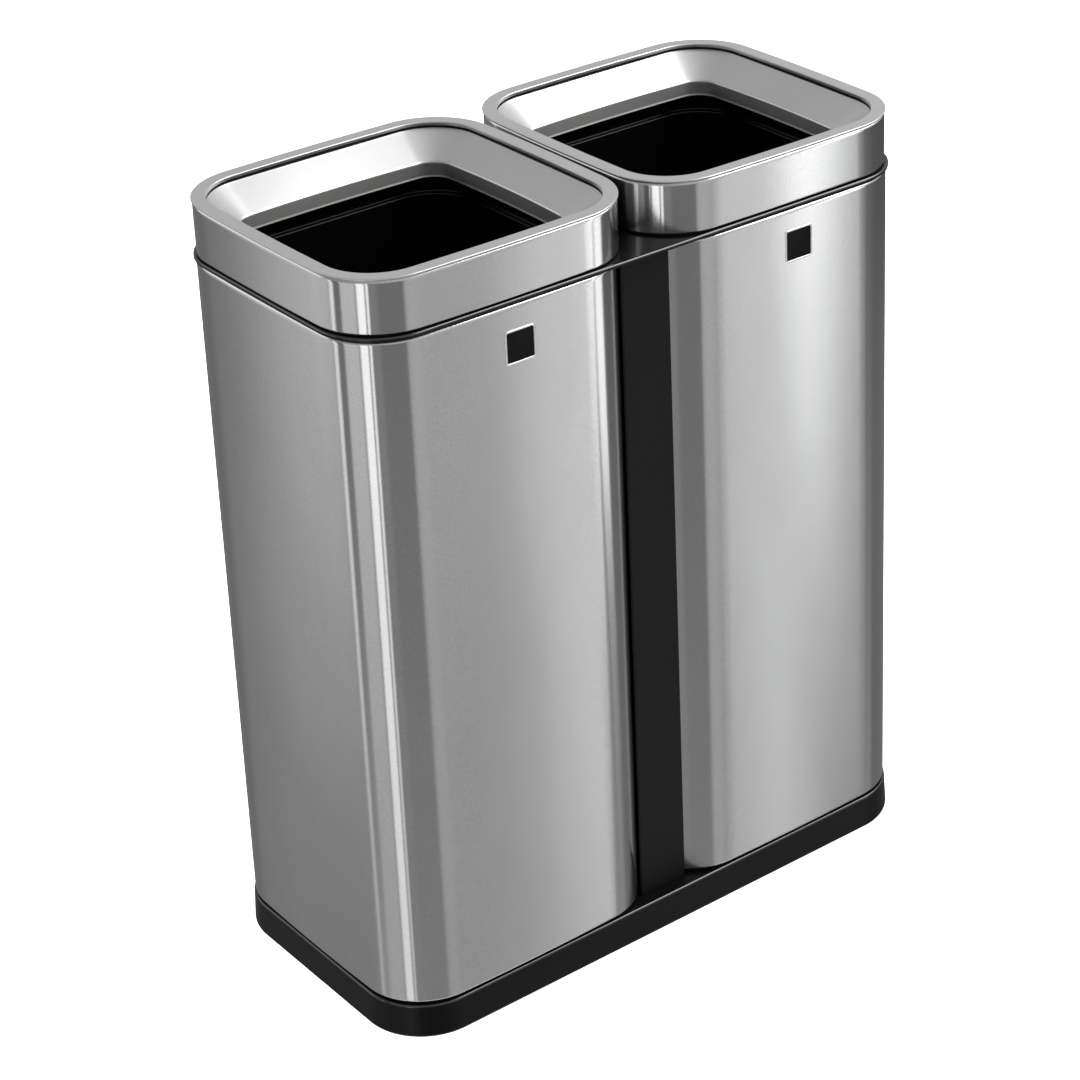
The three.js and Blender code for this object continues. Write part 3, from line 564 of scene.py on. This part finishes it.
for y in (-TIE_Y, TIE_Y):
    v, f = lathe_data([(0, DECK_SKIRT_Z - 4), (6.2, DECK_SKIRT_Z - 4), (6.8, DECK_Z0 + 0.6), (0, DECK_Z0 + 0.6)], 0, y, 40, [], [])
    boolean(deck, (v, f), "UNION")
    v, f = lathe_data([(0, DECK_SKIRT_Z - 6), (TIE_R + 0.3, DECK_SKIRT_Z - 6), (TIE_R + 0.3, DECK_Z0 - 3.5), (0, DECK_Z0 - 3.5)], 0, y, 24, [], [])
    boolean(deck, (v, f), "DIFFERENCE")
for a, b in ((-y1, -y1 + 3), (y1 - 3, y1)):
    boolean(deck, box_data(-15, 15, a, b, DECK_Z0 - 14, DECK_Z0 + 0.5), "UNION")
deck.data.polygons.foreach_set("use_smooth", [True] * len(deck.data.polygons))
deck.data.set_sharp_from_angle(angle=math.radians(32))

gloss_edge(deck, DECK_Z1 - 1.6, DECK_Z1 + 0.01)

# ------------------------------------------------------------ collars and liners

for label, side in (("left", -1), ("right", 1)):
    cx, cy, T = side * COLLAR_X, COLLAR_Y, SHEET
    body = "collar_" + label
    pairs = [(T, COLLAR_Z0)]
    pairs += roll(0.7, COLLAR_Z0 + 0.7, 0.7, -90, 0, 4)
    pairs += [(0, COLLAR_Z0 + 1.6), (0, (COLLAR_Z0 + SKIN_Z1) / 2), (0, SKIN_Z1 - SKIN_ROLL - 1.2)]
    pairs += roll(SKIN_ROLL, SKIN_Z1 - SKIN_ROLL, SKIN_ROLL, 0, 90, 10)
    pairs += [(8.0, SKIN_Z1), (8.0, SKIN_Z1 - T)]
    pairs += roll(SKIN_ROLL, SKIN_Z1 - SKIN_ROLL, SKIN_ROLL - T, 90, 0, 6)
    v, f = loft_data(section(COLLAR_W, COLLAR_D, COLLAR_R, cx, cy, pairs, crown=CROWN), True)
    make("collar_" + label + "_skin", v, f, COLLAR_STEEL, body, nodes=("collar_skin_" + label,))

    pairs = [(T + 0.4, DECK_Z1 + 0.3), (T + 0.4, 708.6), (3.2, 711.4), (11.0, 711.4), (11.0, 709.4), (T + 0.4 + CARRIER_T, 707.0), (T + 0.4 + CARRIER_T, DECK_Z1 + 0.3)]
    v, f = loft_data(section(COLLAR_W, COLLAR_D, COLLAR_R, cx, cy, pairs), True)
    make("collar_" + label + "_carrier", v, f, CARRIER_BLACK, body, nodes=("collar_carrier_" + label,))

    bw, bd, br = COLLAR_W + 2 * BRIM_OUT, COLLAR_D + 2 * BRIM_OUT, COLLAR_R + BRIM_OUT
    e = (BRIM_Z1 - BRIM_Z0) / 2
    pairs = roll(e, BRIM_Z0 + e, e, -90, 90, 10) + [(e + 0.5, BRIM_Z1), (BRIM_W - 1.6, BRIM_Z1)]
    pairs += [(BRIM_W - 0.9 + 0.9 * math.sin(math.radians(a)), BRIM_Z1 - 0.9 + 0.9 * math.cos(math.radians(a))) for a in (0, 18, 36, 54, 72, 90)]
    pairs += [(BRIM_W, BRIM_Z1 - 1.4), (BRIM_W, BRIM_Z0 - 1.6), (BRIM_W - T, BRIM_Z0 - 1.6), (BRIM_W - T, BRIM_Z0)]
    v, f = loft_data(section(bw, bd, br, cx, cy, pairs, crown=CROWN), True)
    make("collar_" + label + "_brim", v, f, SATIN, body, nodes=("brim_ring_" + label,))

    fw, fd, fr = bw - 2 * BRIM_W, bd - 2 * BRIM_W, br - BRIM_W
    # each row: size beyond the given rectangle, its bow, whether it belongs to the mouth, height
    hem = (fw, fd, fr, 0.0)
    mouth = (MOUTH_W, MOUTH_D, MOUTH_R, MOUTH_X)
    rows = [(hem, 13, 0, FUNNEL_Z1), (hem, -0.6, 0.5, FUNNEL_Z1), (hem, -1.6, 0.5, FUNNEL_Z1 - 0.35)]
    rows += [(mouth, 3.0, CREASE_BOW, MOUTH_Z1 + 1.05)]
    # slope, then a soft crease into the upright lip
    for t in (0.0, 0.25, 0.5, 0.75, 1.0):
        a = math.radians(18 + 72 * t)
        rows.append((mouth, 1.8 * (1 - math.sin(a)) / (1 - math.sin(math.radians(18))), CREASE_BOW, MOUTH_Z1 + 0.6 - 1.7 * t))
    rows += [(mouth, 0, CREASE_BOW, MOUTH_Z1 - 1.8), (mouth, 0, LIP_BOW, MOUTH_Z0 + 2.0), (mouth, -0.8, LIP_BOW, MOUTH_Z0 + 1.1),
             (mouth, -1.1, LIP_BOW, MOUTH_Z0 + 0.6), (mouth, -0.9, LIP_BOW, MOUTH_Z0 + 0.2), (mouth, -0.2, LIP_BOW, MOUTH_Z0),
             (mouth, 0.9, LIP_BOW, MOUTH_Z0), (mouth, 1.4, LIP_BOW, MOUTH_Z0 + 0.2), (mouth, 2 * T, LIP_BOW, MOUTH_Z0 + 0.6),
             (mouth, 2 * T, CREASE_BOW, MOUTH_Z1 - 1.5), (hem, 0.4, 0, FUNNEL_Z1 - T), (hem, 13, 0, FUNNEL_Z1 - T)]
    rows = [(outline(k[0] + o, k[1] + o, k[2] + o / 2, cx + k[3], cy, bow), z) for k, o, bow, z in rows]
    v, f = loft_data(rows, True)
    fun = make("collar_" + label + "_funnel", v, f, FUNNEL, body, nodes=("funnel_" + label,), sharp=28)
    # the upright lip faces take the darker painted-shade copy of the funnel steel
    fun.data.materials.append(LIP_SHADED)
    for p in fun.data.polygons:
        if p.center.z * 1000 < MOUTH_Z1 - 0.2 and abs(p.normal.z) < 0.8:
            p.material_index = 1

    T = LINER_T
    rows = [
        (LINER_FLOOR_W + 2 * T - 8, LINER_FLOOR_D + 2 * T - 8, LINER_FLOOR_R + T - 4, LINER_FLOOR_Z - T),
        (LINER_FLOOR_W + 2 * T - 4, LINER_FLOOR_D + 2 * T - 4, LINER_FLOOR_R + T - 2, LINER_FLOOR_Z - T + 0.5),
        (LINER_FLOOR_W + 2 * T - 1, LINER_FLOOR_D + 2 * T - 1, LINER_FLOOR_R + T - 0.5, LINER_FLOOR_Z - T + 2.2),
        (LINER_FLOOR_W + 2 * T, LINER_FLOOR_D + 2 * T, LINER_FLOOR_R + T, LINER_FLOOR_Z - T + 5),
        (LEDGE_W + 2 * T, LEDGE_D + 2 * T, LEDGE_R + T, LEDGE_Z - T - 3),
        (LEDGE_W + 2 * T + 1.5, LEDGE_D + 2 * T + 1.5, LEDGE_R + T + 0.7, LEDGE_Z - T - 1.2),
        (LINER_TOP_W + 2 * T - 1.5, LINER_TOP_D + 2 * T - 1.5, LINER_TOP_R + T - 0.7, LEDGE_Z - T - 0.2),
        (LINER_TOP_W + 2 * T, LINER_TOP_D + 2 * T, LINER_TOP_R + T, LEDGE_Z - T + 1.2),
        (LINER_TOP_W + 2 * T, LINER_TOP_D + 2 * T, LINER_TOP_R + T, LINER_RIM_Z1 - T - 0.5),
        (LINER_TOP_W + 2 * T + 1, LINER_TOP_D + 2 * T + 1, LINER_TOP_R + T + 0.5, LINER_RIM_Z1 - T),
        (LINER_RIM_W - 2 * T - 1, LINER_RIM_D - 2 * T - 1, LINER_RIM_R - T - 0.5, LINER_RIM_Z1 - T),
        (LINER_RIM_W - 2 * T, LINER_RIM_D - 2 * T, LINER_RIM_R - T, LINER_RIM_Z1 - T - 0.5),
        (LINER_RIM_W - 2 * T, LINER_RIM_D - 2 * T, LINER_RIM_R - T, LINER_HANG_Z),
        (LINER_RIM_W, LINER_RIM_D, LINER_RIM_R, LINER_HANG_Z),
        (LINER_RIM_W, LINER_RIM_D, LINER_RIM_R, LINER_RIM_Z1 - 2.0),
    ]
    for a in (15, 30, 45, 60, 75, 90):
        s, c = math.sin(math.radians(a)), math.cos(math.radians(a))
        rows.append((LINER_RIM_W - 3.2 * (1 - c), LINER_RIM_D - 3.2 * (1 - c), LINER_RIM_R - 1.6 * (1 - c), LINER_RIM_Z1 - 1.6 + 1.6 * s))
    for a in (90, 75, 60, 45, 30, 15, 0):
        s, c = math.sin(math.radians(a)), math.cos(math.radians(a))
        rows.append((LINER_TOP_W + 2.8 * (1 - c), LINER_TOP_D + 2.8 * (1 - c), LINER_TOP_R + 1.4 * (1 - c), LINER_RIM_Z1 - 1.4 + 1.4 * s))
    rows += [(LINER_TOP_W, LINER_TOP_D, LINER_TOP_R, LEDGE_Z + 1.8)]
    for a in (0, 30, 60, 90):
        s, c = math.sin(math.radians(a)), math.cos(math.radians(a))
        rows.append((LINER_TOP_W - 2.2 * (1 - c), LINER_TOP_D - 2.2 * (1 - c), LINER_TOP_R - 1.1 * (1 - c), LEDGE_Z + 1.1 * (1 - s)))
    for a in (90, 70, 50, 30, 10, 0):
        s, c = math.sin(math.radians(a)), math.cos(math.radians(a))
        rows.append((LEDGE_W + 2.4 * (1 - c), LEDGE_D + 2.4 * (1 - c), LEDGE_R + 1.2 * (1 - c), LEDGE_Z - 1.2 + 1.2 * s))
    rows += [(LEDGE_W - 0.05, LEDGE_D - 0.05, LEDGE_R, LEDGE_Z - 2.0)]
    rows += [(LINER_FLOOR_W, LINER_FLOOR_D, LINER_FLOOR_R, LINER_FLOOR_Z + 6)]
    for a in (15, 35, 55, 75, 90):
        s, c = math.sin(math.radians(a)), math.cos(math.radians(a))
        rows.append((LINER_FLOOR_W - 10 * (1 - c), LINER_FLOOR_D - 10 * (1 - c), LINER_FLOOR_R - 5 * (1 - c), LINER_FLOOR_Z + 5 * (1 - s)))
    rows += [(LINER_FLOOR_W - 14, LINER_FLOOR_D - 14, LINER_FLOOR_R - 7, LINER_FLOOR_Z)]
    v, f = loft_data(rings(cx, cy, rows), False)
    make("bucket_" + label, v, f, LINER_BLACK, "liner_" + label, nodes=("liner_" + label,), sharp=40)

# --------------------------------------------------------------- badge plates

for label, (x, zb) in BADGE_AT.items():
    yb = -BODY_D / 2 - CROWN + 0.12

    def stand(rows):
        v, f = loft_data(rows, False)
        return [(x + a, yb - c, zb + b) for a, b, c in v], f

    kw = dict(nc=10, ns=2)
    prof = [(0, 0), (0, 0.5), (0.1, 0.72), (0.3, 0.86), (0.6, 0.93), (0.9, 0.93), (1.2, 0.88), (1.45, 0.78), (1.6, 0.64), (1.65, 0.4)]
    v, f = stand(section(BADGE, BADGE, BADGE_R, 0, 0, prof, **kw))
    make("badge_" + label + "_bezel", v, f, BEZEL, "root", nodes=("badge_frame_" + label,))
    prof = [(0, 0.5), (0, 0.62), (0.1, 0.7), (0.3, 0.74)]
    v, f = stand(section(BADGE - 3.3, BADGE - 3.3, BADGE_R - 1.65, 0, 0, prof, **kw))
    make("badge_" + label + "_face", v, f, INLAY, "root", nodes=("badge_inlay_" + label,))

# ---------------------------------------------------------------------- stage

# a plain pale floor
me = bpy.data.meshes.new("floor")
S = 14.0
me.from_pydata([(-S, -S, 0), (S, -S, 0), (S, S, 0), (-S, S, 0)], [], [(0, 1, 2, 3)])
floor_mat, nt, b = new_mat("floor_pale")
b.inputs["Base Color"].default_value = (0.92, 0.92, 0.92, 1)
b.inputs["Roughness"].default_value = 0.9
b.inputs["Specular IOR Level"].default_value = 0.1
me.materials.append(floor_mat)
floor = bpy.data.objects.new("floor", me)
bpy.context.scene.collection.objects.link(floor)
floor.visible_glossy = False
floor.visible_shadow = False
floor.visible_diffuse = False

# -------------------------------------------------------------- studio light

world = bpy.data.worlds.new("studio")
bpy.context.scene.world = world
world.use_nodes = True
nt = world.node_tree
nt.nodes.clear()
out = nt.nodes.new("ShaderNodeOutputWorld")
geo = nt.nodes.new("ShaderNodeTexCoord")
sep = nt.nodes.new("ShaderNodeSeparateXYZ")
link(nt, geo.outputs["Generated"], sep.inputs["Vector"])


def math_node(op, a, b=None):
    m = nt.nodes.new("ShaderNodeMath")
    m.operation = op
    for i, v in enumerate((a, b)):
        if v is None:
            continue
        if isinstance(v, (int, float)):
            m.inputs[i].default_value = v
        else:
            link(nt, v, m.inputs[i])
    return m.outputs[0]


# azimuth in degrees, 0 towards -Y (the front), growing towards +X; elevation in degrees
az = math_node("MULTIPLY", math_node("ARCTAN2", sep.outputs["X"], math_node("MULTIPLY", sep.outputs["Y"], -1.0)), 180 / math.pi)
el = math_node("MULTIPLY", math_node("ARCSINE", sep.outputs["Z"]), 180 / math.pi)


def step(value, centre, soft):
    m = nt.nodes.new("ShaderNodeMapRange")
    m.interpolation_type = "SMOOTHSTEP"
    m.inputs["From Min"].default_value = centre - soft
    m.inputs["From Max"].default_value = centre + soft
    link(nt, value, m.inputs["Value"])
    return m.outputs["Result"]


def blend(fac, a, b):
    m = nt.nodes.new("ShaderNodeMapRange")
    m.inputs["To Min"].default_value = a
    m.inputs["To Max"].default_value = b
    link(nt, fac, m.inputs["Value"])
    return m.outputs["Result"]


rise = step(el, -29.5, 6.5)


clamp_el = math_node("MINIMUM", math_node("MAXIMUM", el, -38.0), -18.0)
slant = math_node("SUBTRACT", az, math_node("MULTIPLY", math_node("ADD", clamp_el, 24.0), 0.2))


def screen(a0, a1, s0, s1, upper, lower, far=None):
    """A soft-edged upright screen between azimuths a0 and a1, brighter or darker towards its foot."""
    box = math_node("SUBTRACT", step(az, a0, s0), step(az if far is None else far, a1, s1))
    return math_node("MULTIPLY", box, blend(rise, lower, upper))


screens = [
    screen(-149.3, -113, 4.2, 2, 0.54, 0.02),     # side wall, left rear
    screen(-111.5, -104.5, 1.3, 1.0, 1.15, 0.40), # narrow strip
    screen(-103.5, -92.5, 1.0, 1.5, -0.03, 0.22),
    screen(-92.5, -69, 1.5, 2, 0.60, 0.24),       # window, left
    screen(-67, -55.2, 1.5, 0.8, 1.54, 0.70),     # tall softbox, left pane
    screen(-53.2, -49.4, 0.8, 1.2, 1.44, 0.30),   # tall softbox, right pane
    screen(-48, -37, 1, 4, 0.09, 0.00),
    screen(-48, 6, 2, 4, 0.00, 0.08),
    screen(3.6, 43.5, 2.8, 1.8, 0.34, 0.17, slant),   # front wall
    screen(8, 27, 3, 7, 0.06, 0.06),
    screen(52, 66, 3, 4, 0.02, 0.18),
    screen(35.0, 43.9, 1.4, 1.0, 0.21, 0.03, slant),  # key window and its soft sides
    screen(36.5, 37.4, 0.5, 0.5, 0.48, 0.58),
    screen(40.7, 42.7, 0.5, 0.7, 2.15, 0.35, slant),
    screen(39.3, 41.3, 0.8, 0.6, 0.00, 1.35),
]
low = None
for sc in screens:
    low = sc if low is None else math_node("ADD", low, sc)
low = math_node("ADD", low, 0.20)
dusk = math_node("SUBTRACT", step(az, 50, 8), step(az, 125, 8))
dusk = math_node("MULTIPLY", dusk, step(el, -23.4, 2.2))
low = math_node("SUBTRACT", low, math_node("MULTIPLY", dusk, 0.11))
floor_glow = math_node("SUBTRACT", 1.0, step(el, -53.0, 7.0))
low = math_node("ADD", low, math_node("MULTIPLY", floor_glow, 1.0))

# overhead: open and bright over the front right, dimmer over the rear
swing = math_node("COSINE", math_node("MULTIPLY", math_node("SUBTRACT", az, 75.0), math.pi / 180))
high = math_node("ADD", math_node("MULTIPLY", swing, 0.22), 0.60)
rear = math_node("SUBTRACT", step(az, -161, 4), step(az, -122, 6))
rear = math_node("MULTIPLY", rear, math_node("SUBTRACT", step(el, 6, 3), step(el, 29, 4)))
high = math_node("ADD", high, math_node("MULTIPLY", rear, 0.9))
up = step(el, 2.0, 6.0)
mixv = nt.nodes.new("ShaderNodeMix")
mixv.data_type = "FLOAT"
link(nt, up, mixv.inputs[0])
link(nt, low, mixv.inputs[2])
link(nt, high, mixv.inputs[3])
studio = nt.nodes.new("ShaderNodeBackground")
link(nt, mixv.outputs[0], studio.inputs["Strength"])
studio.inputs["Color"].default_value = (0.985, 0.99, 1.0, 1)
plain = nt.nodes.new("ShaderNodeBackground")
plain.inputs["Color"].default_value = (1, 1, 1, 1)
plain.inputs["Strength"].default_value = 1.0
lp = nt.nodes.new("ShaderNodeLightPath")
mx = nt.nodes.new("ShaderNodeMixShader")
link(nt, lp.outputs["Is Camera Ray"], mx.inputs[0])
link(nt, studio.outputs[0], mx.inputs[1])
link(nt, plain.outputs[0], mx.inputs[2])
link(nt, mx.outputs[0], out.inputs["Surface"])


def area(name, loc, target, size, power, colour=(1, 1, 1)):
    li = bpy.data.lights.new(name, "AREA")
    li.shape = "RECTANGLE"
    li.size, li.size_y = size
    li.energy = power
    li.color = colour
    ob = bpy.data.objects.new(name, li)
    ob.location = loc
    ob.rotation_euler = (Vector(target) - Vector(loc)).to_track_quat("-Z", "Y").to_euler()
    bpy.context.scene.collection.objects.link(ob)
    ob.visible_camera = False
    return ob


key = area("key_softbox", (1.614, -0.858, 2.405), (0, 0, 0.7), (2.0, 1.8), 58)
side = area("side_strip", (1.18, -1.03, 0.12), (-0.02, -0.13, 0.12), (0.42, 0.9), 1.7)
wash = area("floor_wash", (0, 0, 5.0), (0, 0, 0), (8.0, 8.0), 1100)


def receivers(light, objects, exclude=False):
    coll = bpy.data.collections.new(light.name + "_receivers")
    for ob in objects:
        coll.objects.link(ob)
    light.light_linking.receiver_collection = coll
    if exclude:
        for item in coll.collection_objects:
            item.light_linking.link_state = "EXCLUDE"


receivers(key, [floor], exclude=True)
receivers(wash, [floor])
receivers(side, [bpy.data.objects["body_left"], bpy.data.objects["collar_left_skin"]])
wash.data.use_shadow = False

# --------------------------------------------------------------------- camera

C = Vector((-1.4366994, -1.9589221, 1.6579279))
yaw, pitch, rollc = -0.66500936, 0.41807713, -0.0300548
f_px, ppx, ppy = 3059.265, 644.4189, 294.7197
back = Vector((math.sin(yaw) * math.cos(pitch), -math.cos(yaw) * math.cos(pitch), math.sin(pitch)))
fwd = -back
right = Vector((math.cos(yaw), math.sin(yaw), 0))
upv = right.cross(fwd)
cr, sr = math.cos(rollc), math.sin(rollc)
xa = cr * right + sr * upv
ya = -sr * right + cr * upv
cam_data = bpy.data.cameras.new("photo_camera")
cam = bpy.data.objects.new("photo_camera", cam_data)
cam.matrix_world = Matrix(((xa.x, ya.x, back.x, C.x), (xa.y, ya.y, back.y, C.y), (xa.z, ya.z, back.z, C.z), (0, 0, 0, 1)))
cam_data.sensor_fit = "HORIZONTAL"
cam_data.sensor_width = 36.0
cam_data.lens = f_px / 1080.0 * 36.0
cam_data.shift_x = (540.0 - ppx) / 1080.0
cam_data.shift_y = (ppy - 540.0) / 1080.0
cam_data.clip_end = 100.0
bpy.context.scene.collection.objects.link(cam)
bpy.context.scene.camera = cam

bpy.context.scene.view_settings.view_transform = "Standard"
